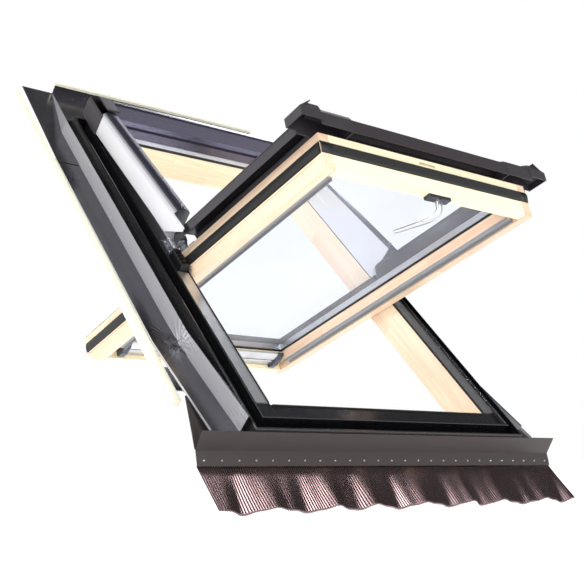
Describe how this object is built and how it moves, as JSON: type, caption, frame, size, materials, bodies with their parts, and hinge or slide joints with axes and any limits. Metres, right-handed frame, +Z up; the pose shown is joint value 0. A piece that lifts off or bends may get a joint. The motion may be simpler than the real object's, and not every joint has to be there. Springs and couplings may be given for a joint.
{
  "type": "roof_window",
  "caption": "Centre-pivot pine roof window with grey covers and flashing, double glazed, with a bottom handle, standing open on a sloping roof",
  "frame": {"origin": "middle of the bottom frame member's room face", "axes": "+X across the window to the right seen from outside, +Y into the building, +Z up; the window leans back with the roof"},
  "size_m": [0.966, 1.1723, 1.153],
  "materials": {
    "wood": "clear lacquered pine",
    "profile": "satin black coated aluminium",
    "cover": "matt anthracite lacquered aluminium",
    "cover_side": "satin grey aluminium",
    "cap": "moulded anthracite plastic",
    "flashing": "satin coated aluminium sheet",
    "apron": "pleated aluminium sheet",
    "silver": "satin anodised",
    "steel": "zinc plated",
    "channel": "grey coated channel",
    "seal": "smooth black gasket",
    "foam": "cream open-cell foam",
    "plastic": "black moulded",
    "glass": "clear pane"
  },
  "bodies": {
    "frame": {"frame_left": "wood", "frame_right": "wood", "frame_bottom": "wood", "frame_top": "wood", "profile_left": "profile", "profile_right": "profile", "profile_bottom": "profile", "profile_top": "profile", "rebate_strip_left": "silver", "rebate_strip_right": "silver", "rebate_strip_top": "silver", "frame_seals": "seal", "upper_cover_left": "cover_side", "upper_cover_right": "cover_side", "head_cover": "cover", "head_cap_left": "cap", "head_cap_right": "cap", "cover_screws": "steel", "flashing_left": "flashing", "flashing_right": "flashing", "head_flashing": "flashing", "sill_flashing": "flashing", "apron": "apron", "apron_rivets": "steel", "side_foam_left": "foam", "side_foam_right": "foam", "head_foam": "foam", "mounting_brackets": "steel", "bracket_screws": "steel", "hinge_plate_left": "steel", "hinge_plate_right": "steel", "hinge_housing_left": "plastic", "hinge_housing_right": "plastic", "striker": "steel"},
    "sash": {"sash_left": "wood", "sash_right": "wood", "sash_bottom": "wood", "sash_top": "wood", "blind_channel_left": "channel", "blind_channel_right": "channel", "outer_pane": "glass", "inner_pane": "glass", "pane_spacer": "silver", "glazing_gaskets": "seal", "glazing_beads": "profile", "sash_seals": "seal", "side_cover_left": "cover_side", "side_cover_right": "cover_side", "bottom_cover": "cover", "cover_cap_left": "cap", "cover_cap_right": "cap", "vent_bar": "silver", "vent_cap_left": "plastic", "vent_cap_right": "plastic", "hinge_arm_left": "steel", "hinge_arm_right": "steel", "handle_base": "plastic"},
    "handle": {"handle_lever": "silver", "lock_cam": "steel"},
    "flap": {"vent_flap": "silver"}
  },
  "joints": [
    {"name": "sash_pivot", "type": "hinge", "parent": "frame", "child": "sash", "pos_m": [0, 0.31254, 0.46103], "axis": [-1, 0, 0], "range_deg": [-62, 25]},
    {"name": "handle_turn", "type": "hinge", "parent": "sash", "child": "handle", "pos_m": [0.006, -0.18768, 0.49057], "axis": [0, 0.2924, 0.9563], "range_deg": [0, 56]},
    {"name": "vent_flap_tilt", "type": "hinge", "parent": "sash", "child": "flap", "pos_m": [0, 0.68324, 0.25411], "axis": [-1, 0, 0], "range_deg": [0, 25]}
  ]
}
